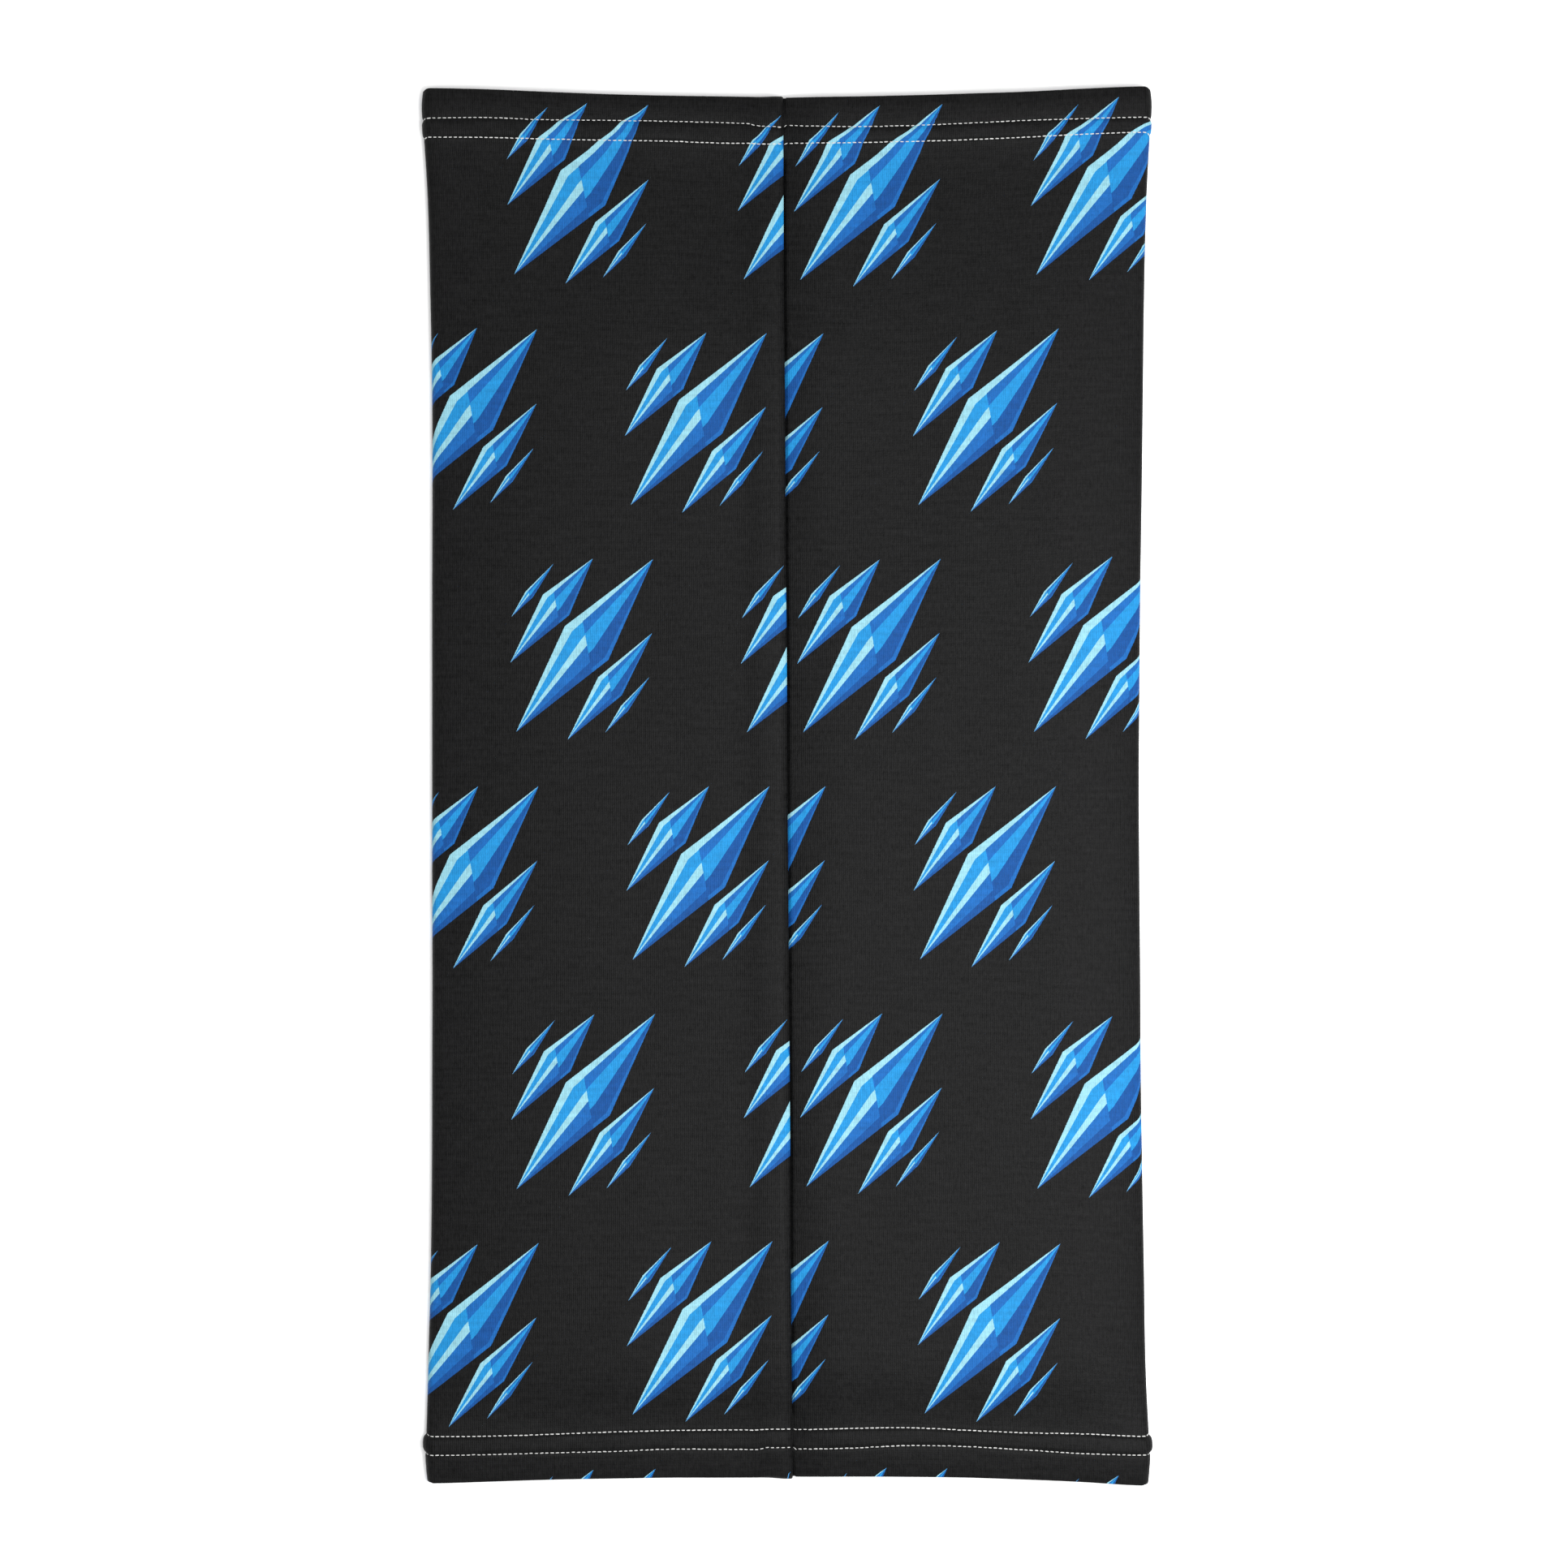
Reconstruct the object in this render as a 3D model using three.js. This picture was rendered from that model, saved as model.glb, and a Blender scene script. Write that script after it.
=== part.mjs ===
// A one-size neck gaiter: one rectangle of printed jersey sewn into a tube and laid flat on a table,
// with its centre-back seam upwards and both ends turned in as coverstitched hems.
// Millimetres. +X across the tube, +Y along it towards the upper hem, +Z up from the table.
// Every piece is cut flat, as a strip, and bent into place by the same rules, so that what is sewn
// to the cloth follows it. Depths are measured from the tube's outer face inwards.
import * as THREE from "three";
import { mergeVertices } from "three/addons/utils/BufferGeometryUtils.js";

// The tube as it lies
const tubeWidth = 249;
const tubeLength = 490;
const foldRadius = 4; // of the roll at each side
const crown = 4.6; // rise of the upper layer's middle above the side rolls
const hemFlare = 3.3; // spread of each side at the very ends
const endDip = 3.5; // how much shorter each end is at its middle than at its corners

// The cloth
const clothThickness = 0.5;
const layerGap = 0.2; // between two layers of cloth turned back on each other

// The coverstitched hems
const outerRowInset = 10.4; // hem's edge to the first needle row
const rowSpacing = 6.4; // between the two needle rows
const rawEdgePastRow = 1.2; // turned-in raw edge beyond the second row
const bandMargin = 1.1; // drawn-in band beyond each needle row
const bandRamp = 0.8; // slope at each side of the drawn-in band

// The threads
const threadThickness = 0.3;
const threadGap = 0.3; // between a thread and the cloth
const threadCover = 0.1; // needle thread's outer side below the tube's outer face

// The centre-back seam
const seamAllowance = 6.5;
const seamOffset = 1.3; // seam line from the tube's centre line
const seamLean = 1.7; // seam line's drift from the middle to either end
const seamRun = 3.5; // distance in which a layer climbs on to the seam's bulk
const seamEase = 0.3; // clearance beside the folded allowance
const needleInset = 1; // seam fold to the nearer overlock needle thread
const needleSpacing = 2.2; // between the two overlock needle threads

// Derived sizes
const halfLength = tubeLength / 2;
const layerStep = clothThickness + layerGap;
const hemDepth = outerRowInset + rowSpacing + rawEdgePastRow;
const bandSink = threadCover + threadThickness + threadGap;
const bandStart = outerRowInset - bandMargin;
const bandEnd = hemDepth + bandMargin / 2;
const bodyStart = bandEnd + bandRamp;

// Depth of the middle of each layer of cloth, from the outermost inwards
const outerLayer = clothThickness / 2;
const foldedAllowance = outerLayer + layerStep;
const straightAllowance = foldedAllowance + layerStep;

// Depth of the crease that a hem turns about, clear of every layer that lies outside it
const plainCrease = outerLayer + layerStep / 2;
const seamCrease = straightAllowance + layerStep / 2;

const topOfRoll = 2 * foldRadius;
const topOfCrown = topOfRoll + crown;
const upwards = new THREE.Vector2(0, 1);
const downwards = new THREE.Vector2(0, -1);

// A column is one lengthwise line of the cloth. share places it across the flat width, shift moves
// it sideways, rise is the height of the outer face and inward points into the tube. The cloth
// bends about a point at this depth by this turn, and its hem turns about the crease.
function column(place) {
  const plain = { shift: 0, atSeam: 0, depth: outerLayer, bend: 0, turn: 0, crease: plainCrease };
  return { ...plain, ...place };
}

function topColumn(share) {
  return column({ share, rise: topOfRoll + crown * (1 - share ** 4), inward: downwards });
}

function bottomColumn(share) {
  return column({ share, rise: 0, inward: upwards });
}

// A line of the side roll, with the angle counted from the table round to the top.
function rollColumn(side, angle) {
  const inward = new THREE.Vector2(-side * Math.sin(angle), Math.cos(angle));
  const shift = side * foldRadius * Math.sin(angle);
  return column({ share: side, shift, rise: foldRadius * (1 - Math.cos(angle)), inward });
}

// A line beside the seam, placed from the seam line.
function seamColumn(shift, place) {
  return column({ share: 0, shift, atSeam: 1, rise: topOfCrown, inward: downwards, ...place });
}

const topShares = [0.15, 0.4, 0.65, 0.85, 1];
const bottomShares = [0.8, 0.45, 0, -0.45, -0.8];
const rollAngles = [1, 0.8, 0.6, 0.4, 0.2, 0].map((part) => part * Math.PI);

// Round the tube from the right of the seam to the left of it.
function roundTheTube() {
  const right = topShares.map(topColumn);
  const rightRoll = rollAngles.slice(1).map((angle) => rollColumn(1, angle));
  const under = bottomShares.map(bottomColumn);
  const leftRoll = rollAngles.toReversed().map((angle) => rollColumn(-1, angle));
  const left = topShares.slice(0, -1).toReversed().map((share) => topColumn(-share));
  return [...right, ...rightRoll, ...under, ...leftRoll, ...left];
}

// The whole panel, raw edge to raw edge. The right edge runs straight on under the left one, which
// is folded back at the seam line, so that both allowances lie to the left.
function panelColumns() {
  const straight = { depth: straightAllowance, crease: seamCrease };
  const foldDepth = (outerLayer + foldedAllowance) / 2;
  const foldBend = layerStep / 2;
  const foldShift = -foldBend - clothThickness / 2;
  const fold = { depth: foldDepth, bend: foldBend, crease: seamCrease };
  const foldTurns = [0, 1 / 3, 2 / 3, 1].map((part) => part * Math.PI);
  return [
    seamColumn(-seamAllowance, straight),
    seamColumn(seamEase, straight),
    seamColumn(seamEase + seamRun, {}),
    ...roundTheTube(),
    seamColumn(-seamAllowance - seamEase - seamRun, {}),
    seamColumn(-seamAllowance - seamEase, { crease: seamCrease }),
    ...foldTurns.map((turn) => seamColumn(foldShift, { ...fold, turn })),
    seamColumn(-seamAllowance, { ...fold, turn: Math.PI }),
  ];
}

// A hem thread's way round the tube, with its two ends meeting at the seam line.
function threadColumns() {
  const deep = { crease: seamCrease };
  return [
    seamColumn(threadGap / 2, deep),
    seamColumn(2 * seamEase, deep),
    seamColumn(2 * seamEase + seamRun, {}),
    ...roundTheTube(),
    seamColumn(-seamAllowance - seamEase - seamRun, {}),
    seamColumn(-seamAllowance - seamEase, deep),
    seamColumn(-threadGap / 2, deep),
  ];
}

// A row is one line of the cloth round the tube. end is +1 at the upper hem and -1 at the lower
// one, inset is its distance from the hem's edge, turn is how far it has gone round the crease and
// sink is how deep stitching draws it in. A body row has its share of the length between hems.
function hemRow(end, inset, sink, turn = 0) {
  return { end, inset, sink, turn };
}

function bodyRow(share) {
  return { share, sink: 0, turn: 0 };
}

// From the turned-in raw edge, round the crease at the hem's edge, to where the body starts.
function hemRows(end) {
  const creaseTurns = [1, 0.75, 0.5, 0.25, 0].map((part) => part * Math.PI);
  return [
    hemRow(end, hemDepth, bandSink, Math.PI),
    hemRow(end, bandStart, bandSink, Math.PI),
    hemRow(end, bandStart - bandRamp, 0, Math.PI),
    ...creaseTurns.map((turn) => hemRow(end, undefined, 0, turn)),
    hemRow(end, bandStart - bandRamp, 0),
    hemRow(end, bandStart, bandSink),
    hemRow(end, bandEnd, bandSink),
  ];
}

const bodyShares = [-1, -0.9, -0.7, -0.35, 0, 0.35, 0.7, 0.9, 1];

function panelRows() {
  return [...hemRows(-1), ...bodyShares.map(bodyRow), ...hemRows(1).toReversed()];
}

// How far along the tube a row lies, on this column and at this radius from its crease.
function along(line, row, radius) {
  const edge = halfLength - endDip * (1 - line.share ** 2);
  if (row.share !== undefined) return row.share * (edge - bodyStart);
  const inset = row.inset ?? line.crease;
  return row.end * (edge - inset + radius * Math.sin(row.turn));
}

// The place in space of a point on a column, so far along the tube, aside and in depth.
function placed(line, y, aside, depth) {
  const reach = Math.abs(y) / halfLength;
  const flatHalf = tubeWidth / 2 - foldRadius + hemFlare * reach ** 4;
  const seamLine = seamOffset - seamLean * (y / halfLength);
  const x = line.share * flatHalf + line.shift + line.atSeam * seamLine + aside + line.inward.x * depth;
  return [x, y, line.rise + line.inward.y * depth];
}

// side is +1 on the printed face and -1 on the reverse.
function clothPoint(line, row, side) {
  const reach = line.bend + (side * clothThickness) / 2;
  const faceDepth = line.depth - reach * Math.cos(line.turn);
  const radius = line.crease - faceDepth;
  const depth = row.sink + line.crease - radius * Math.cos(row.turn);
  return placed(line, along(line, row, radius), reach * Math.sin(line.turn), depth);
}

// A flat strip with one segment for each pair of neighbouring columns and rows, whose corners are
// carried to their places by the given rule.
function bentStrip(columns, rows, rule) {
  const across = columns.length - 1;
  const up = rows.length - 1;
  const flat = new THREE.BoxGeometry(across, up, 2, across, up, 1);
  flat.deleteAttribute("normal");
  flat.deleteAttribute("uv");
  const strip = mergeVertices(flat);
  const corners = strip.getAttribute("position");
  for (let i = 0; i < corners.count; i++) {
    const line = columns[Math.round(corners.getX(i) + across / 2)];
    const row = rows[Math.round(corners.getY(i) + up / 2)];
    corners.setXYZ(i, ...rule(line, row, Math.sign(corners.getZ(i))));
  }
  strip.computeVertexNormals();
  return strip;
}

const jersey = { color: 0x232323, roughness: 0.88, metalness: 0 };
const sewingThread = { color: 0xd4d6d8, roughness: 0.6, metalness: 0 };

function piece(name, geometry, finish) {
  const mesh = new THREE.Mesh(geometry, new THREE.MeshStandardMaterial(finish));
  mesh.name = name;
  return mesh;
}

function clothPanel() {
  return piece("cloth_panel", bentStrip(panelColumns(), panelRows(), clothPoint), jersey);
}

// A band of thread round one hem, between two insets, on the side of the cloth that topOf gives.
function hemThread(name, end, centreInset, width, topOf) {
  const insets = [end, -end].map((way) => centreInset + (way * width) / 2);
  const rows = insets.map((inset) => hemRow(end, inset, 0));
  const rule = (line, row, side) => {
    const depth = topOf(line) + ((1 - side) / 2) * threadThickness;
    return placed(line, along(line, row, 0), 0, depth);
  };
  return piece(name, bentStrip(threadColumns(), rows, rule), sewingThread);
}

// Two needle threads sunk in the drawn-in band, and the looper thread that joins them inside.
function coverstitch(name, end) {
  const needleTop = () => threadCover;
  const looperTop = (line) => bandSink + 2 * line.crease + threadGap;
  const innerRowInset = outerRowInset + rowSpacing;
  const middle = (outerRowInset + innerRowInset) / 2;
  const stitches = new THREE.Group();
  stitches.add(
    hemThread(name + "_outer_needle_thread", end, outerRowInset, threadThickness, needleTop),
    hemThread(name + "_inner_needle_thread", end, innerRowInset, threadThickness, needleTop),
    hemThread(name + "_looper_thread", end, middle, rowSpacing, looperTop),
  );
  return stitches;
}

// A thread along the seam between the hems, from one shift to another beside the seam line.
function seamThread(name, fromShift, toShift, top, bottom) {
  const clearOfHems = 0.998;
  const edges = [fromShift, toShift].map((shift) => seamColumn(shift, {}));
  const rows = bodyShares.map((share) => bodyRow(share * clearOfHems));
  const rule = (line, row, side) => placed(line, along(line, row, 0), 0, side > 0 ? top : bottom);
  return piece(name, bentStrip(edges, rows, rule), sewingThread);
}

// Two needle threads and a looper thread on the free side of the allowances, and a looper thread
// round their raw edges.
function overlock() {
  const top = straightAllowance + clothThickness / 2 + threadGap;
  const bottom = top + threadThickness;
  const near = -needleInset;
  const far = near - needleSpacing;
  const rawEdge = -seamAllowance;
  const wrapTop = clothThickness + threadGap;
  const stitches = new THREE.Group();
  stitches.add(
    seamThread("seam_right_needle_thread", near - threadThickness, near, top, bottom),
    seamThread("seam_left_needle_thread", far - threadThickness, far, top, bottom),
    seamThread("seam_lower_looper_thread", rawEdge, far - threadThickness - threadGap, top, bottom),
    seamThread("seam_upper_looper_thread", rawEdge - threadGap - threadThickness,
      rawEdge - threadGap, wrapTop, bottom),
  );
  return stitches;
}

const gaiter = new THREE.Group();
gaiter.add(clothPanel(), coverstitch("upper_hem", 1), coverstitch("lower_hem", -1), overlock());

export default gaiter;
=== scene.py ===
import math
import random

import bmesh
import bpy
from mathutils import Matrix, Vector, noise


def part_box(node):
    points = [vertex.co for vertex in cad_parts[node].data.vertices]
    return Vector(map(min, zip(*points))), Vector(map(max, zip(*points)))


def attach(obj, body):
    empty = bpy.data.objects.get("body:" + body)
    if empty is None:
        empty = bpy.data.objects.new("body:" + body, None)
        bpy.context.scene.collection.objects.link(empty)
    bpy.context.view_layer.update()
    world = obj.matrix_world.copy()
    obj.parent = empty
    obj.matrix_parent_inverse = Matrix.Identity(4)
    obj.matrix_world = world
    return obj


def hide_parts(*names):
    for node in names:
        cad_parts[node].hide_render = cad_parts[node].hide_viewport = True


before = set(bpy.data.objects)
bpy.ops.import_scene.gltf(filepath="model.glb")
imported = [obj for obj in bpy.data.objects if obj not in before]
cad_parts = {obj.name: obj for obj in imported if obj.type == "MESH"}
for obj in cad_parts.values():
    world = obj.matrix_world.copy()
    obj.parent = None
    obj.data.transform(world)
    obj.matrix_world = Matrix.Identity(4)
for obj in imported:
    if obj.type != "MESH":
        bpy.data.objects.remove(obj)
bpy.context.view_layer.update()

# The camera
# It looks straight down on the tube from three metres, through a long lens.
tube_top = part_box("cloth_panel")[1].z
camera_data = bpy.data.cameras.new("camera")
camera_data.lens = 200
camera_data.sensor_width = 36
table_seen = 0.5498  # metres of table from side to side of the view
camera = bpy.data.objects.new("camera", camera_data)
camera_height = tube_top / 2 + table_seen * camera_data.lens / camera_data.sensor_width
camera.location = (-0.0010, 0.0007, camera_height)
bpy.context.scene.collection.objects.link(camera)
bpy.context.scene.camera = camera
bpy.context.scene.view_settings.view_transform = "Standard"

# The table and the light
# A plain white table under an even white room, with one soft lamp high over its right side, so
# that the little shadow there is falls past the upper and the left edge of the tube.
table_mesh = bpy.data.meshes.new("table")
bm = bmesh.new()
bmesh.ops.create_grid(bm, x_segments=1, y_segments=1, size=14)
bm.to_mesh(table_mesh)
bm.free()
table = bpy.data.objects.new("table", table_mesh)
bpy.context.scene.collection.objects.link(table)

white_laminate = bpy.data.materials.new("white_laminate")
white_laminate.use_nodes = True
laminate = white_laminate.node_tree.nodes["Principled BSDF"]
laminate.inputs["Base Color"].default_value = (0.92, 0.92, 0.92, 1)
laminate.inputs["Roughness"].default_value = 0.9
laminate.inputs["Specular IOR Level"].default_value = 0.1
table_mesh.materials.append(white_laminate)

room = bpy.data.worlds.new("room")
room.use_nodes = True
room.node_tree.nodes["Background"].inputs["Color"].default_value = (1, 1, 1, 1)
room.node_tree.nodes["Background"].inputs["Strength"].default_value = 1.05
bpy.context.scene.world = room

lamp_data = bpy.data.lights.new("soft_lamp", "AREA")
lamp_data.shape = "SQUARE"
lamp_data.size = 0.6
lamp_data.energy = 13
lamp = bpy.data.objects.new("soft_lamp", lamp_data)
lamp.location = (0.28, -0.11, 0.76)
lamp.rotation_euler = (-lamp.location).to_track_quat("-Z", "Y").to_euler()
bpy.context.scene.collection.objects.link(lamp)

# The tube of cloth
# One rectangle of thin polyester jersey, printed on its face and white on its reverse. Its sides
# are joined in one seam, which lies on top, and both ends are turned in once as hems. Every
# place on it is given on the flat panel, by p across it and v along it from its middle.
mm = 0.001
cloth_thickness = 0.5 * mm
layer_step = 0.7 * mm  # between the middles of two layers, so that they clear on a slope too
above_table = 0.3 * mm  # so that the stitches underneath clear the table
half_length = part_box("cloth_panel")[1].y
printed_round = 502 * mm  # cloth round the tube, from seam line to seam line
seam_allowance = 6.5 * mm
hem_depth = 18 * mm
needle_rows = (10.3 * mm, 16.5 * mm)  # from the hem's edge to each row of stitches

roll_radius = 2.6 * mm  # of the rolled side, to the middle of the cloth
half_under = 121.5 * mm  # half the cloth that lies on the table
roll_length = math.pi * roll_radius
half_round = printed_round / 2
top_length = half_round - half_under - roll_length
seam_fold = layer_step / 2  # radius of the left side's fold at the seam
hem_fold = layer_step / 2 + 0.05 * mm  # radius of the hem's crease where it is two layers thick
seam_bulk = 2 * layer_step  # depth of the right side under the folded left one
ridge = 0.9 * mm  # how far the two bound allowances lift the cloth over them
sunk_seam = 0.9 * mm  # and how far the seam line itself is drawn in
hem_start = half_length - hem_fold  # on the panel, where the hem's crease begins
hem_turned = hem_start + math.pi * hem_fold  # and where it ends
body_start = 22 * mm  # from the hem's edge to the plain body

# How the hems are drawn in by their stitches, puff up between them and hang at their edge, with
# the hang's depth, reach and curl for each end
groove_depth, groove_width = 0.38 * mm, 0.65 * mm
puff_height, margin_height = 0.5 * mm, 0.18 * mm
pull_width = 2.6 * mm  # along the tube, of the cloth that a row of stitches pulls with it
pressed_depth = 0.35 * mm  # of the body just past the inner row
pressed_start, pressed_stop, pressed_fade = 1.8 * mm, 45 * mm, 28 * mm
hem_hang = {1: (0.8 * mm, 6 * mm, 2), -1: (1.9 * mm, 10.3 * mm, 1.2)}
proud_edge = {1: 0.4 * mm, -1: 0.7 * mm}  # of the seam's folded side past the other
proud_share = 0.05  # of the way from the seam to the side roll
side_dip = 0.9 * mm  # how much shorter the tube is at its side rolls
side_bulge = 0.7 * mm  # of the lower hem between its rows, at the side rolls

# The crown of the upper layer, what the hems hold down of it, where it starts to fall towards each
# end and in what length, and how square its shoulder is on each side
crown_height, crown_held = 5.6 * mm, 4 * mm
crown_falls = {1: (145 * mm, 90 * mm), -1: (204 * mm, 30 * mm)}
shoulders = {-1: 5, 1: 9}
roll_swell = 0.35 * mm  # of the side rolls in the hems
swell_start, swell_length = 215 * mm, 20 * mm
# Height, length across, length along and place in the noise of the upper layer's faint waves
waves = ((0.9 * mm, 50 * mm, 110 * mm, 2.2), (0.35 * mm, 21 * mm, 60 * mm, 7.1))

# The valley at the seam, with the climb of each side on to the layers that are stacked there
climb = 5 * mm
climb_start = {-1: 7.2 * mm, 1: 0.3 * mm}  # from the seam line
ridge_reach, ridge_slope = 17 * mm, 10 * mm
valley_width = {-1: 4 * mm, 1: 18 * mm}
seam_gap, gap_reach, gap_fade = 0.9 * mm, 1.5 * mm, 4 * mm  # under the folded side's nose

# How the soft tube happens to lie, in millimetres at even steps: how far out each side reaches,
# from the lower to the upper end, and then for each end, from the left to the right, how far its
# edge reaches and how far in from there each row of stitches runs
side_places = 238 * mm
side_lines = {
    -1: (127, 125.9, 125, 124.6, 124.5, 124.4, 124.5, 124.5, 124.5, 124.5, 124.4, 124.5, 125.1,
         126, 128.1),
    1: (127.7, 126, 125.4, 124.8, 124.3, 124.1, 123.8, 123.6, 123.8, 124.1, 124.6, 125, 125.4,
        126.2, 128),
}
end_lines = {
    1: (244.8, 244.3, 243.4, 242.6, 242.1, 241.8, 241.5, 241.7, 242.1, 242.7, 243.4, 244.5, 245.4),
    -1: (244.7, 244, 243.3, 242.9, 242.6, 242.6, 242.4, 242.2, 242.3, 242.6, 243.3, 244.2, 245.5),
}
row_lines = {
    1: ((10.7, 10.1, 10, 9.4, 9.2, 9.4, 9.9, 10.7, 10.8, 10.6, 10.3, 10.7, 11),
        (17.1, 16.8, 16.5, 16.1, 15.9, 16.3, 16, 16.1, 16.1, 16.1, 15.9, 15.9, 16)),
    -1: ((10.1, 9.8, 9.7, 9.8, 10.3, 10.2, 10, 10.3, 11.3, 11.2, 10.7, 10.3, 11),
         (16.4, 16, 16, 16.4, 16.6, 16.8, 16.6, 17, 17.3, 16.7, 16.5, 17, 17.3)),
}


def smooth(t):
    t = min(max(t, 0), 1)
    return t * t * (3 - 2 * t)


def course(values, t):
    """A smooth line through evenly spaced values, from the first at 0 to the last at 1."""
    place = min(max(t, 0), 1) * (len(values) - 1)
    first = min(int(place), len(values) - 2)
    f = place - first
    a, b = values[first], values[first + 1]
    before, after = values[max(first - 1, 0)], values[min(first + 2, len(values) - 1)]
    bend = 2 * before - 5 * a + 4 * b - after + f * (3 * (a - b) + after - before)
    return (a + f / 2 * (b - before + f * bend)) * mm


def ripple(size, *place):
    """A soft random rise and fall of at most the given size."""
    return size * noise.noise(Vector(place))


def seam_line(y):
    """Where the seam runs, a little aslant and not quite straight."""
    return (0.3 - 1.7 * y / half_length) * mm + ripple(0.25 * mm, y / (60 * mm), 4.2, 0)


def side_line(side, y):
    """How far out the side of the tube reaches, which spreads towards the hems."""
    return course(side_lines[side], 0.5 + y / (2 * side_places))


def hem_edge(end, side, share, near):
    """How far along the tube its end lies. The folded side of the seam stands a little proud, as
    far in as the first row of stitches, which holds both sides together."""
    edge = course(end_lines[end], 0.5 + side * share / 2) - cloth_thickness / 2
    if side < 0:
        proud = proud_edge[end] * math.exp(-((share / proud_share) ** 2))
        edge += proud * smooth(1 - near / needle_rows[0])
    return edge


def drawn_in(end, inset, top, turned):
    """How deep the stitching draws the cloth in, less how far the hem puffs up between it."""
    outer, inner = needle_rows
    low, reach, curl = hem_hang[end]
    groove = sum(math.exp(-(((inset - row) / groove_width) ** 2)) for row in needle_rows)
    past = smooth((inset - inner) / pressed_start) * smooth((pressed_stop - inset) / pressed_fade)
    sunk = groove_depth * groove + low * max(0, 1 - inset / reach) ** curl * top
    sunk += pressed_depth * past * top
    if turned:
        return sunk
    between = (inset - outer) / (inner - outer)
    puff = max(0, 4 * between * (1 - between)) ** 0.6
    margin = max(0, 4 * inset / outer * (1 - inset / outer)) ** 0.8
    return sunk - (puff_height * puff + margin_height * margin) * top


def middle(p, v):
    """Where the middle of the cloth's thickness lies, for a place on the flat panel."""
    side = -1 if p > 0 else 1
    end = 1 if v > 0 else -1
    q = abs(p)
    past_seam = max(0, q - half_round)

    # Part of the way round: flat on the table, up the roll, and across the top to the seam. The
    # roll goes over into the slope of the crown, which the hems hold down at both ends.
    on_top = q > half_under + roll_length
    if q <= half_under:
        share = q / half_under
    else:
        share = min(1, max(0, (half_round - q) / top_length))
    fall_start, fall_length = crown_falls[end]
    crown = crown_height - crown_held * smooth((abs(v) - fall_start) / fall_length)
    shoulder = shoulders[side]
    slope = shoulder * crown / half_under
    angle = (math.pi - slope) * min(max((q - half_under) / roll_length, 0), 1)
    if on_top:
        angle = math.pi - slope * share ** (shoulder - 1)
    top = (1 - math.cos(angle)) / 2
    out = 0 if on_top else math.sin(angle) ** 2

    # Layers at the seam: how deep this one lies, and the crease that the hem turns about
    from_seam = half_round - q
    inset = half_length - abs(v)
    stacked = smooth(1 - (from_seam - climb_start[side]) / climb)
    if side > 0:
        gap = smooth(1 - past_seam / gap_fade) * max(0, 1 - max(0, from_seam) / gap_reach) ** 2
        in_body = smooth((inset - 20 * mm) / (5 * mm))
        layer = seam_bulk * stacked + seam_gap * gap * in_body
        shown = smooth(from_seam / (1.2 * mm))
    else:
        shown = 0
        turn = min(past_seam / (math.pi * seam_fold), 1) * math.pi
        layer = seam_fold * (1 - math.cos(turn))
    crease = hem_fold + seam_bulk * stacked

    # Along the tube: the body, the hem's outer layer, its crease and its turned-in layer
    hem_turn = 0
    if inset < hem_fold:
        hem_turn = min((hem_fold - inset) / (hem_turned - hem_start), 1) * math.pi
        inset = max(hem_fold, abs(v) - hem_turned + hem_fold)
    near = inset
    edge = hem_edge(end, side, share, near) - side_dip * out**2
    if inset < body_start:
        centre = crease + (hem_fold - crease) * shown
        inset = centre + (inset - hem_fold) * (body_start - centre) / (body_start - hem_fold)
    if inset > body_start:
        y = v * (edge - body_start) / (half_length - body_start)
    else:
        y = end * (edge - inset + (crease - layer) * math.sin(hem_turn))
    for row, insets in zip(needle_rows, row_lines[end]):
        pull = math.exp(-(((near - row) / pull_width) ** 2)) * top
        strays = row + cloth_thickness / 2 - course(insets, 0.5 + side * share / 2)
        y += end * strays * pull
    layer = crease - (crease - layer) * math.cos(hem_turn)

    # Across the tube
    radius = roll_radius + roll_swell * smooth((abs(y) - swell_start) / swell_length)
    centre = side * (side_line(side, y) - cloth_thickness / 2 - radius)
    seam = seam_line(y)
    if side < 0:
        seam -= cloth_thickness / 2 + seam_fold
    if q <= half_under:
        x = centre * share
    elif on_top:
        x = seam + (centre + side * radius * math.sin(slope) - seam) * share
    else:
        x = centre
    if side > 0:
        x -= past_seam
    elif past_seam:
        x += seam_fold * math.sin(turn) - max(0, past_seam - math.pi * seam_fold)

    # Depth below the outer face, and the height of that face
    turned = hem_turn > math.pi / 2
    depth = layer + drawn_in(end, near, top, turned)
    if end < 0 and not turned:
        between = (near - needle_rows[0]) / (needle_rows[1] - needle_rows[0])
        depth -= side_bulge * out * math.sqrt(max(0, 4 * between * (1 - between)))
    z = above_table + cloth_thickness / 2 + depth * math.cos(angle)
    if not on_top:
        x += side * (radius - depth) * math.sin(angle)
        z += radius * (1 - math.cos(angle))
    else:
        x -= side * depth * math.sin(angle)
        z += radius * (1 + math.cos(slope)) + crown * (1 - share**shoulder)
        inland = (1 - share**4) ** 2
        for height, across, along, start in waves:
            z += ripple(height, x / across, y / along, start) * inland
        beside = abs(x - seam_line(y))
        if x < seam_line(y):
            z += ridge * smooth((ridge_reach - beside) / ridge_slope)
            z -= (ridge + sunk_seam) * max(0, 1 - beside / valley_width[-1]) ** 2
        else:
            z += seam_bulk * smooth((climb_start[1] + climb - beside) / climb)
            z -= (seam_bulk + sunk_seam) * max(0, 1 - beside / valley_width[1]) ** 2
    return Vector((x, y, z))


def frame_at(p, v):
    """The middle of the cloth there, with the way across, the way along and the printed side."""
    small = 0.05 * mm
    across = (middle(p + small, v) - middle(p - small, v)).normalized()
    along = (middle(p, v + small) - middle(p, v - small)).normalized()
    return middle(p, v), across, along, across.cross(along).normalized()


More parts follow.
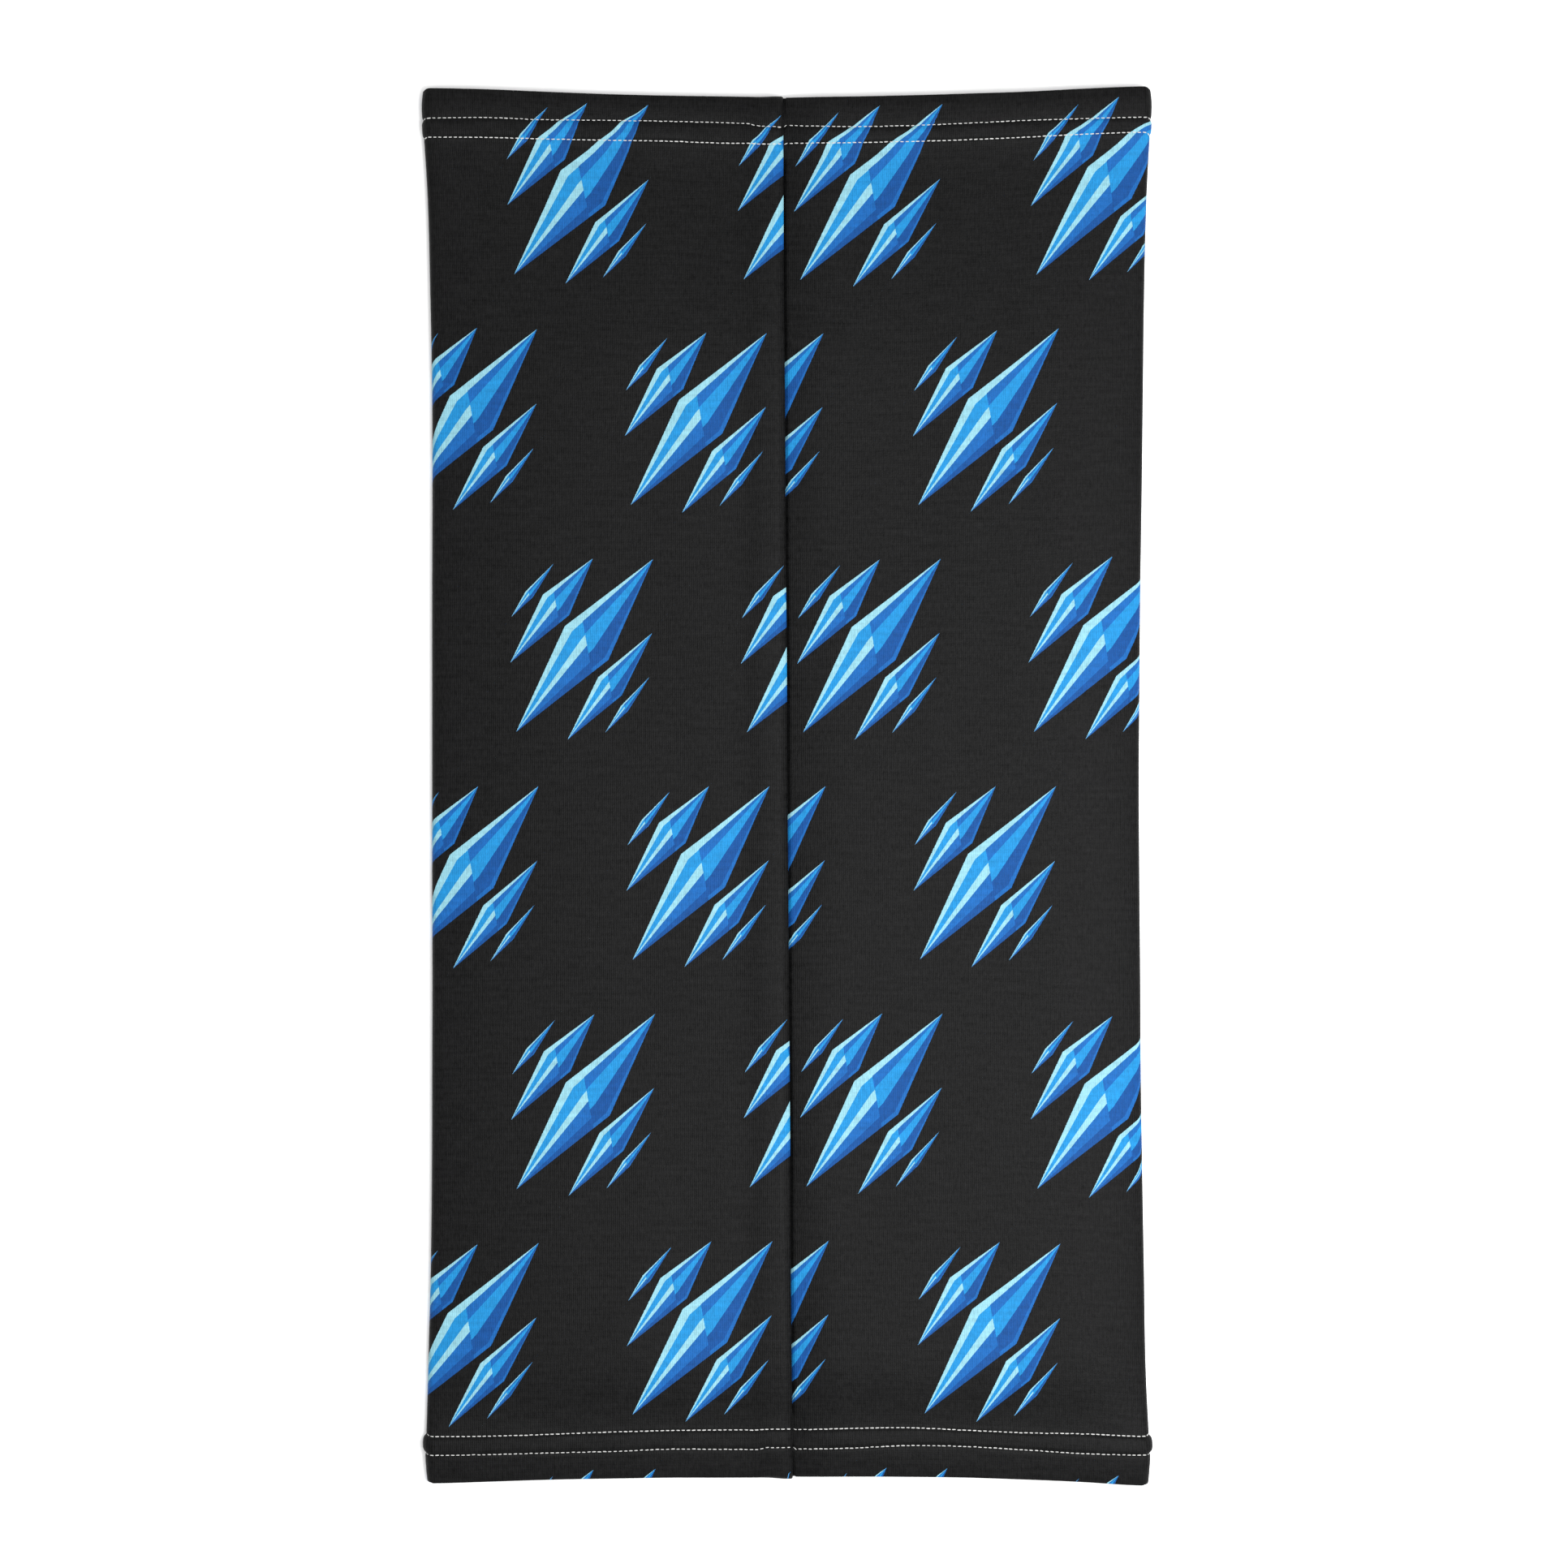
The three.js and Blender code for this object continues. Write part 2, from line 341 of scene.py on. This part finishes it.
def spaced(start, *stretches):
    """Places from start on, each stretch of (stop, step) divided into equal steps."""
    places = [start]
    for stop, step in stretches:
        first = places[-1]
        count = max(1, round((stop - first) / step))
        places += [first + (stop - first) * (i + 1) / count for i in range(count)]
    return places


roll_end = half_under + roll_length
left_half = spaced(
    0,
    (half_under - 5 * mm, 4.6 * mm),
    (half_under, 2.2 * mm),
    (roll_end, 0.95 * mm),
    (roll_end + 5 * mm, 2.2 * mm),
    (half_round - 13 * mm, 3.3 * mm),
    (half_round - 3 * mm, 1.4 * mm),
    (half_round, 0.35 * mm),
    (half_round + math.pi * seam_fold, 0.16 * mm),
    (half_round + math.pi * seam_fold + 3 * mm, 0.35 * mm),
    (half_round + seam_allowance, 1.3 * mm),
)
right_half = spaced(
    0,
    (half_under - 5 * mm, 4.6 * mm),
    (half_under, 2.2 * mm),
    (roll_end, 0.95 * mm),
    (roll_end + 5 * mm, 2.2 * mm),
    (half_round - 13 * mm, 3.3 * mm),
    (half_round - 6 * mm, 1.6 * mm),
    (half_round - 1.8 * mm, 0.7 * mm),
    (half_round, 0.3 * mm),
    (half_round + 3.5 * mm, 0.35 * mm),
    (half_round + seam_allowance, 1.3 * mm),
)
inner_line, outer_line = [half_length - row for row in reversed(needle_rows)]
upper_half = spaced(
    0,
    (half_length - 30 * mm, 3.9 * mm),
    (inner_line - 2 * mm, 1.7 * mm),
    (inner_line + 2 * mm, 0.45 * mm),
    (outer_line - 2 * mm, 0.9 * mm),
    (outer_line + 2 * mm, 0.45 * mm),
    (hem_start, 1.1 * mm),
    (hem_turned, 0.19 * mm),
    (hem_turned + hem_depth - hem_fold, 1.5 * mm),
)
columns = [-p for p in reversed(right_half)] + left_half[1:]
rows = [-v for v in reversed(upper_half)] + upper_half[1:]

panel_mesh = bpy.data.meshes.new("cloth_tube")
bm = bmesh.new()
bmesh.ops.create_grid(bm, x_segments=len(columns) - 1, y_segments=len(rows) - 1, size=0.5)
cut = bm.loops.layers.uv.new("cut")
places = {}
for vert in bm.verts:
    column = columns[round((vert.co.x + 0.5) * (len(columns) - 1))]
    row = rows[round((vert.co.y + 0.5) * (len(rows) - 1))]
    places[vert] = (column, row)
for face in bm.faces:
    face.smooth = True
    for loop in face.loops:
        loop[cut].uv = places[loop.vert]
for vert, place in places.items():
    vert.co = middle(*place)
bm.to_mesh(panel_mesh)
bm.free()
tube = bpy.data.objects.new("cloth_tube", panel_mesh)
bpy.context.scene.collection.objects.link(tube)

printed_jersey = bpy.data.materials.new("printed_jersey")
white_reverse = bpy.data.materials.new("white_jersey_reverse")
raw_edge = bpy.data.materials.new("raw_jersey_edge")
for material in (printed_jersey, white_reverse, raw_edge):
    material.use_nodes = True
    panel_mesh.materials.append(material)

thickness = tube.modifiers.new("thickness", "SOLIDIFY")
thickness.thickness = cloth_thickness
thickness.offset = 0
thickness.use_even_offset = True
thickness.material_offset = 1
thickness.material_offset_rim = 2
bpy.context.view_layer.update()
solid_mesh = bpy.data.meshes.new_from_object(
    tube.evaluated_get(bpy.context.evaluated_depsgraph_get())
)
tube.modifiers.remove(thickness)
tube.data = solid_mesh

# The printed face: a brick pattern of shards, in four flat blues on black, on a fine knit whose
# ribs run along the tube. The knit breaks the print's edges up a little, and its grooves are
# painted darker as shade.
repeat_across, repeat_along = 80.5 * mm, 80.6 * mm
first_across, first_along = -20 * mm, -30.8 * mm
lean = math.radians(38)
rib_pitch, course_pitch = 0.68 * mm, 0.55 * mm
print_blues = {
    "pale": (0.235, 0.48, 0.56, 1),
    "azure": (0.014, 0.215, 0.50, 1),
    "mid": (0.010, 0.105, 0.35, 1),
    "deep": (0.007, 0.064, 0.24, 1),
}
lower_facets = ((0, "pale"), (0.16, "azure"), (0.38, "pale"), (0.53, "mid"), (0.80, "deep"))
upper_facets = ((0, "pale"), (0.15, "mid"), (0.36, "azure"), (0.66, "deep"), (0.92, "mid"))
# Along its length from one tip to the other, with its widest place, then its line and half width
shards = (
    (-39, 1, 39, 0, 9.6),
    (-21, 5, 26, -16.6, 5.8),
    (-30, -6, 18, 15.8, 5.2),
    (-8, 2, 16, -26.2, 1.6),
    (-20, -9, 5, 24.6, 1.5),
)


def maths(tree, operation, *values):
    node = tree.nodes.new("ShaderNodeMath")
    node.operation = operation
    for socket, value in zip(node.inputs, values):
        if isinstance(value, (int, float)):
            socket.default_value = value
        else:
            tree.links.new(value, socket)
    return node.outputs[0]


def panel_place(tree):
    """The place on the flat panel, as its vector and its two numbers."""
    uv = tree.nodes.new("ShaderNodeUVMap")
    uv.uv_map = "cut"
    parts = tree.nodes.new("ShaderNodeSeparateXYZ")
    tree.links.new(uv.outputs[0], parts.inputs[0])
    return uv.outputs[0], parts.outputs[0], parts.outputs[1]


def mottle(tree, place, across, along, detail=3):
    """Soft uneven patches of the given size, from 0 to 1."""
    stretch = tree.nodes.new("ShaderNodeVectorMath")
    stretch.operation = "DIVIDE"
    stretch.inputs[1].default_value = (across, along, 1)
    tree.links.new(place, stretch.inputs[0])
    patches = tree.nodes.new("ShaderNodeTexNoise")
    patches.inputs["Scale"].default_value = 1
    patches.inputs["Detail"].default_value = detail
    tree.links.new(stretch.outputs[0], patches.inputs["Vector"])
    return patches.outputs[0]


def knit(tree, p, v, place):
    """The height of the knit, from 0 in the grooves to 1 on the ribs."""
    wander = maths(tree, "MULTIPLY", mottle(tree, place, 2.4 * mm, 6 * mm), 5)
    turn = maths(tree, "ADD", maths(tree, "MULTIPLY", p, 2 * math.pi / rib_pitch), wander)
    ribs = maths(tree, "COSINE", turn)
    stitch = maths(tree, "MULTIPLY", maths(tree, "ABSOLUTE", ribs), 2)
    step = maths(tree, "ADD", maths(tree, "MULTIPLY", v, 2 * math.pi / course_pitch), stitch)
    courses = maths(tree, "MULTIPLY", maths(tree, "COSINE", step), 0.08)
    fuzz = maths(tree, "MULTIPLY", mottle(tree, place, 0.35 * mm, 0.6 * mm), 1.1)
    height = maths(tree, "ADD", maths(tree, "MULTIPLY", ribs, 0.24), courses)
    return maths(tree, "SUBTRACT", maths(tree, "ADD", height, fuzz), 0.05)


def knit_bump(tree, height, depth):
    bump = tree.nodes.new("ShaderNodeBump")
    bump.inputs["Strength"].default_value = 1
    bump.inputs["Distance"].default_value = depth
    tree.links.new(height, bump.inputs["Height"])
    shader = tree.nodes["Principled BSDF"]
    tree.links.new(bump.outputs[0], shader.inputs["Normal"])
    return shader


def shaded(tree, colour, painted_shade_and_mottle):
    """A colour made lighter or darker by a factor, which holds painted shade of the relief and
    random mottle.
    """
    mix = tree.nodes.new("ShaderNodeVectorMath")
    mix.operation = "SCALE"
    tree.links.new(colour, mix.inputs[0])
    tree.links.new(painted_shade_and_mottle, mix.inputs["Scale"])
    return mix.outputs[0]


def laid_on(tree, ground, colour, where):
    mix = tree.nodes.new("ShaderNodeMix")
    mix.data_type = "RGBA"
    tree.links.new(where, mix.inputs["Factor"])
    tree.links.new(ground, mix.inputs[6])
    tree.links.new(colour, mix.inputs[7])
    return mix.outputs[2]


tree = printed_jersey.node_tree
place, p, v = panel_place(tree)
height = knit(tree, p, v, place)
shader = knit_bump(tree, height, 0.09 * mm)

rough_edge = maths(tree, "MULTIPLY", mottle(tree, place, 0.5 * mm, 0.5 * mm, 1), 0.35 * mm)
across = maths(tree, "ADD", p, rough_edge)
brick_row = maths(tree, "ROUND", maths(tree, "DIVIDE", maths(tree, "SUBTRACT", v, first_along),
                                       repeat_along))
up = maths(tree, "SUBTRACT", maths(tree, "SUBTRACT", v, first_along),
           maths(tree, "MULTIPLY", brick_row, repeat_along))
shift = maths(tree, "MULTIPLY", maths(tree, "FLOORED_MODULO", brick_row, 2), repeat_across / 2)
beside = maths(tree, "SUBTRACT", maths(tree, "SUBTRACT", across, first_across), shift)
beside = maths(tree, "WRAP", beside, repeat_across / 2, -repeat_across / 2)
along_shard = maths(tree, "ADD", maths(tree, "MULTIPLY", beside, math.sin(lean)),
                    maths(tree, "MULTIPLY", up, math.cos(lean)))
across_shard = maths(tree, "SUBTRACT", maths(tree, "MULTIPLY", beside, math.cos(lean)),
                     maths(tree, "MULTIPLY", up, math.sin(lean)))

streaks = mottle(tree, place, 12 * mm, 1.3 * mm)
patches = mottle(tree, place, 5 * mm, 8 * mm)
slubs = mottle(tree, place, 0.8 * mm, 2.6 * mm)
uneven = maths(tree, "ADD", maths(tree, "MULTIPLY", streaks, 1.3),
               maths(tree, "MULTIPLY", patches, 0.6))
uneven = maths(tree, "ADD", uneven, maths(tree, "MULTIPLY", slubs, 1.9))
# Painted shade: the knit's height darkens the colour in its grooves, on top of the yarn's random
# mottle. The printed blues get a weaker copy of both.
painted_shade_and_mottle = maths(tree, "ADD", height, maths(tree, "SUBTRACT", uneven, 1.5))
faint_painted_shade_and_mottle = maths(tree, "MULTIPLY_ADD", painted_shade_and_mottle, 0.2, 0.46)

ground = tree.nodes.new("ShaderNodeRGB")
ground.outputs[0].default_value = (0.0037, 0.0037, 0.0038, 1)
printed = shaded(tree, ground.outputs[0], painted_shade_and_mottle)
for tail, widest, tip, line, half_width in shards:
    rise = maths(tree, "DIVIDE", maths(tree, "SUBTRACT", along_shard, tail * mm),
                 (widest - tail) * mm)
    fall = maths(tree, "DIVIDE", maths(tree, "SUBTRACT", tip * mm, along_shard),
                 (tip - widest) * mm)
    width = maths(tree, "MULTIPLY", maths(tree, "MINIMUM", rise, fall), half_width * mm)
    width = maths(tree, "MAXIMUM", width, 1e-7)
    facet = maths(tree, "DIVIDE", maths(tree, "SUBTRACT", across_shard, line * mm), width)
    inside = maths(tree, "LESS_THAN", maths(tree, "ABSOLUTE", facet), 1)
    slant = maths(tree, "MULTIPLY", maths(tree, "SUBTRACT", across_shard, line * mm), 0.9)
    upper = maths(tree, "GREATER_THAN", maths(tree, "ADD", along_shard, slant), widest * mm)
    colours = []
    for facets in (lower_facets, upper_facets):
        ramp = tree.nodes.new("ShaderNodeValToRGB")
        ramp.color_ramp.interpolation = "CONSTANT"
        while len(ramp.color_ramp.elements) < len(facets):
            ramp.color_ramp.elements.new(0.5)
        for stop, (at, blue) in zip(ramp.color_ramp.elements, facets):
            stop.position = at
            stop.color = print_blues[blue]
        tree.links.new(maths(tree, "MULTIPLY_ADD", facet, 0.5, 0.5), ramp.inputs[0])
        colours.append(ramp.outputs[0])
    blues = shaded(tree, laid_on(tree, *colours, upper), faint_painted_shade_and_mottle)
    printed = laid_on(tree, printed, blues, inside)
tree.links.new(printed, shader.inputs["Base Color"])
tree.links.new(maths(tree, "MULTIPLY_ADD", patches, 0.12, 0.46), shader.inputs["Roughness"])
shader.inputs["Specular IOR Level"].default_value = 0.056

# The reverse and the cut edges: the same knit in white yarn, greyed a little by the ink that
# comes through from the face.
for material, tone in ((white_reverse, 0.60), (raw_edge, 0.66)):
    tree = material.node_tree
    place, p, v = panel_place(tree)
    height = knit(tree, p, v, place)
    shader = knit_bump(tree, height, 0.05 * mm)
    patches = mottle(tree, place, 6 * mm, 10 * mm)
    yarn = tree.nodes.new("ShaderNodeRGB")
    yarn.outputs[0].default_value = (tone, tone, tone * 1.03, 1)
    # Painted shade: the knit's height darkens the yarn in its grooves; the patches grey it
    # unevenly.
    painted_shade_and_mottle = maths(tree, "ADD", maths(tree, "MULTIPLY", height, 0.25),
                  maths(tree, "MULTIPLY_ADD", patches, 0.2, 0.65))
    tree.links.new(shaded(tree, yarn.outputs[0], painted_shade_and_mottle), shader.inputs["Base Color"])
    shader.inputs["Roughness"].default_value = 0.85
    shader.inputs["Specular IOR Level"].default_value = 0.25

# The flat layout that the finished piece keeps for its colours: most of it for the printed face,
# a strip for the reverse and a thin band for each cut edge. A strip has a foot and a height.
layout_left, layout_width = 0.002, 0.996
layout_strips = {0: (0.282, 0.716), 1: (0.002, 0.25)}
first_band, band_step, band_height = 0.256, 0.006, 0.004
bm = bmesh.new()
bm.from_mesh(solid_mesh)
cut = bm.loops.layers.uv["cut"]
layout = bm.loops.layers.uv.new("OFBake")
panel_width = columns[-1] - columns[0]
panel_length = rows[-1] - rows[0]
for face in bm.faces:
    for loop in face.loops:
        across = (loop[cut].uv.x - columns[0]) / panel_width
        along = (loop[cut].uv.y - rows[0]) / panel_length
        if face.material_index in layout_strips:
            foot, strip_height = layout_strips[face.material_index]
            spot = (layout_left + layout_width * across, foot + strip_height * along)
            loop[layout].uv = spot
bands = [[], [], [], []]
for face in bm.faces:
    if face.material_index != 2:
        continue
    corners = [loop[cut].uv for loop in face.loops]
    wide = max(c.x for c in corners) - min(c.x for c in corners)
    middle_x = sum(c.x for c in corners) / 4
    middle_y = sum(c.y for c in corners) / 4
    at_end = wide > 0.01 * mm and abs(middle_y) > half_length
    if at_end:
        bands[0 if middle_y > 0 else 1].append(face)
    else:
        bands[2 if middle_x > 0 else 3].append(face)
for number, band in enumerate(bands):
    base = first_band + band_step * number
    for face in band:
        printed_verts = {
            vert for vert in face.verts
            if any(other.material_index == 0 for other in vert.link_faces)
        }
        for loop in face.loops:
            place = loop[cut].uv
            if number < 2:
                way = (place.x - columns[0]) / panel_width
            else:
                way = (place.y - rows[0]) / panel_length
            rise = band_height if loop.vert in printed_verts else 0
            loop[layout].uv = (layout_left + layout_width * way, base + rise)
bm.to_mesh(solid_mesh)
bm.free()

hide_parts("cloth_panel")
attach(tube, "root")

# The hems' needle threads
# Two rows of grey polyester thread on the outside of each hem, from a twin-needle coverstitch.
# Each stitch comes out of one needle hole and goes down the next, and pulls the cloth in there.
stitch_pitch = 1.78 * mm
stitch_length, stitch_width, stitch_height = 1.4 * mm, 0.5 * mm, 0.38 * mm
stitch_stand = cloth_thickness / 2 + 0.04 * mm  # from the cloth's middle to the stitch's

sewing_thread = bpy.data.materials.new("grey_sewing_thread")
sewing_thread.use_nodes = True
tree = sewing_thread.node_tree
shader = tree.nodes["Principled BSDF"]
spot = tree.nodes.new("ShaderNodeTexCoord").outputs["Object"]
tone = mottle(tree, spot, 1.3 * mm, 1.3 * mm, 2)
fibres = mottle(tree, spot, 0.12 * mm, 0.06 * mm, 2)
grey = tree.nodes.new("ShaderNodeRGB")
grey.outputs[0].default_value = (0.35, 0.35, 0.34, 1)
# Painted shade on the fibres' relief, the same noise that makes the twist bump, with tone that
# differs at random from stitch to stitch.
painted_shade_and_mottle = maths(tree, "ADD", maths(tree, "MULTIPLY", tone, 0.7),
              maths(tree, "MULTIPLY_ADD", fibres, 0.3, 0.45))
tree.links.new(shaded(tree, grey.outputs[0], painted_shade_and_mottle), shader.inputs["Base Color"])
twist = tree.nodes.new("ShaderNodeBump")
twist.inputs["Distance"].default_value = 0.03 * mm
tree.links.new(fibres, twist.inputs["Height"])
tree.links.new(twist.outputs[0], shader.inputs["Normal"])
tree.links.new(maths(tree, "MULTIPLY_ADD", fibres, 0.2, 0.45), shader.inputs["Roughness"])
shader.inputs["Sheen Weight"].default_value = 0.1


def sewn_on(node, mesh):
    """Hangs a finished row of stitches on the tube in the place of its CAD node."""
    mesh.materials.clear()
    mesh.materials.append(sewing_thread)
    for face in mesh.polygons:
        face.use_smooth = True
    stitches = bpy.data.objects.new(node.replace("thread", "stitches"), mesh)
    bpy.context.scene.collection.objects.link(stitches)
    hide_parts(node)
    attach(stitches, "root")


stitch_mesh = bpy.data.meshes.new("stitch")
bm = bmesh.new()
bmesh.ops.create_uvsphere(bm, u_segments=8, v_segments=5, radius=0.5)
for vert in bm.verts:  # blunter ends, where the thread goes down through the cloth
    reach = 2 * math.hypot(vert.co.x, vert.co.y)
    if reach > 0.01:
        vert.co.xy *= reach**-0.45
bm.to_mesh(stitch_mesh)
bm.free()


def laid_stitch(bm, spot, out, aside, along, height, width, length):
    """Adds one stitch, stretched along the thread, to a row of them."""
    if aside.cross(out).dot(along) < 0:
        aside = -aside
    grain = Matrix((aside * width, out * height, along * length)).transposed().to_4x4()
    grain.translation = spot
    stitch = stitch_mesh.copy()
    stitch.transform(grain)
    bm.from_mesh(stitch)
    bpy.data.meshes.remove(stitch)


chance = random.Random(7)
stitches_round = round(printed_round / stitch_pitch)
for end, hem in ((1, "upper_hem"), (-1, "lower_hem")):
    for row, place in zip(needle_rows, ("outer", "inner")):
        bm = bmesh.new()
        for number in range(stitches_round):
            p = (number + 0.5) * printed_round / stitches_round - half_round
            p += chance.uniform(-0.08, 0.08) * mm
            v = end * (half_length - row) + chance.uniform(-0.06, 0.06) * mm
            spot, across, along, out = frame_at(p, v)
            spot += out * stitch_stand
            tilt = chance.uniform(-0.1, 0.1)
            across, along = across + along * tilt, along - across * tilt
            size = chance.uniform(0.88, 1.1)
            laid_stitch(bm, spot, out, along, across,
                        stitch_height, stitch_width * size, stitch_length * size)
        name = hem + "_" + place + "_needle_thread"
        mesh = bpy.data.meshes.new(name)
        bm.to_mesh(mesh)
        bm.free()
        sewn_on(name, mesh)

# The hems' looper threads
# On the inside of each hem one thread runs to and fro between the two rows, catches every needle
# stitch and covers the turned-in raw edge.
looper_radius = 0.13 * mm
looper_stand = cloth_thickness / 2 + looper_radius + 0.02 * mm
# Part of a stitch onwards, and distance in from the hem's edge
looper_path = ((0, 10.4 * mm), (0.3, 12.6 * mm), (0.5, 16.4 * mm), (0.8, 14.2 * mm))


def thread_along(name, places):
    """One thin round thread through the places."""
    path = bpy.data.curves.new(name, "CURVE")
    path.dimensions = "3D"
    path.bevel_depth = looper_radius
    path.bevel_resolution = 1
    path.use_fill_caps = True
    line = path.splines.new("POLY")
    line.points.add(len(places) - 1)
    for point, place in zip(line.points, places):
        point.co = (*place, 1)
    drawn = bpy.data.objects.new(name + "_path", path)
    bpy.context.scene.collection.objects.link(drawn)
    bpy.context.view_layer.update()
    mesh = bpy.data.meshes.new_from_object(
        drawn.evaluated_get(bpy.context.evaluated_depsgraph_get())
    )
    bpy.data.objects.remove(drawn)
    mesh.name = name
    sewn_on(name, mesh)


for end, hem in ((1, "upper_hem"), (-1, "lower_hem")):
    places = []
    for number in range(stitches_round):
        for part, row in looper_path:
            p = (number + part + 0.1) * printed_round / stitches_round - half_round
            v = end * (hem_turned + row - hem_fold)
            spot, across, along, out = frame_at(p, v)
            places.append(spot + out * looper_stand)
    thread_along(hem + "_looper_thread", places)

# The seam's overlock threads
# The two allowances are trimmed and bound together by two needle threads and two looper threads,
# on the inside of the tube, between the hems.
overlock_pitch, overlock_length = 2 * mm, 1.6 * mm
overlock_end = half_length - 19 * mm
overlock_stitches = round(2 * overlock_end / overlock_pitch)
needle_insets = (("seam_right_needle_thread", 1.0 * mm), ("seam_left_needle_thread", 3.2 * mm))
bound_edge = 6.4 * mm  # from the seam line to where the threads go round the raw edges
# Distance in from the seam line, and part of a stitch onwards
lower_path = ((3.5 * mm, 0), (5 * mm, 0.25), (bound_edge, 0.5), (5 * mm, 0.75))
# Distance past the bound edge, height over the cloth's middle, and part of a stitch onwards
upper_path = (
    (0.05 * mm, -0.4 * mm, 0),
    (0.35 * mm, -0.3 * mm, 0.2),
    (0.35 * mm, 0.9 * mm, 0.4),
    (0.05 * mm, 1.0 * mm, 0.5),
    (0.35 * mm, 0.9 * mm, 0.6),
    (0.35 * mm, -0.3 * mm, 0.8),
)
for name, inset in needle_insets:
    bm = bmesh.new()
    for number in range(overlock_stitches):
        v = (number + 0.5) * overlock_pitch - overlock_end
        spot, across, along, out = frame_at(-half_round - inset, v)
        spot -= out * stitch_stand
        laid_stitch(bm, spot, out, across, along, stitch_height, stitch_width, overlock_length)
    mesh = bpy.data.meshes.new(name)
    bm.to_mesh(mesh)
    bm.free()
    sewn_on(name, mesh)

lower_looper, upper_looper = [], []
for number in range(overlock_stitches):
    v = (number + 0.5) * overlock_pitch - overlock_end
    for inset, part in lower_path:
        spot, across, along, out = frame_at(-half_round - inset, v + part * overlock_pitch)
        lower_looper.append(spot - out * looper_stand)
    for aside, rise, part in upper_path:
        spot, across, along, out = frame_at(-half_round - bound_edge, v + part * overlock_pitch)
        upper_looper.append(spot - across * aside + out * rise)
thread_along("seam_lower_looper_thread", lower_looper)
thread_along("seam_upper_looper_thread", upper_looper)
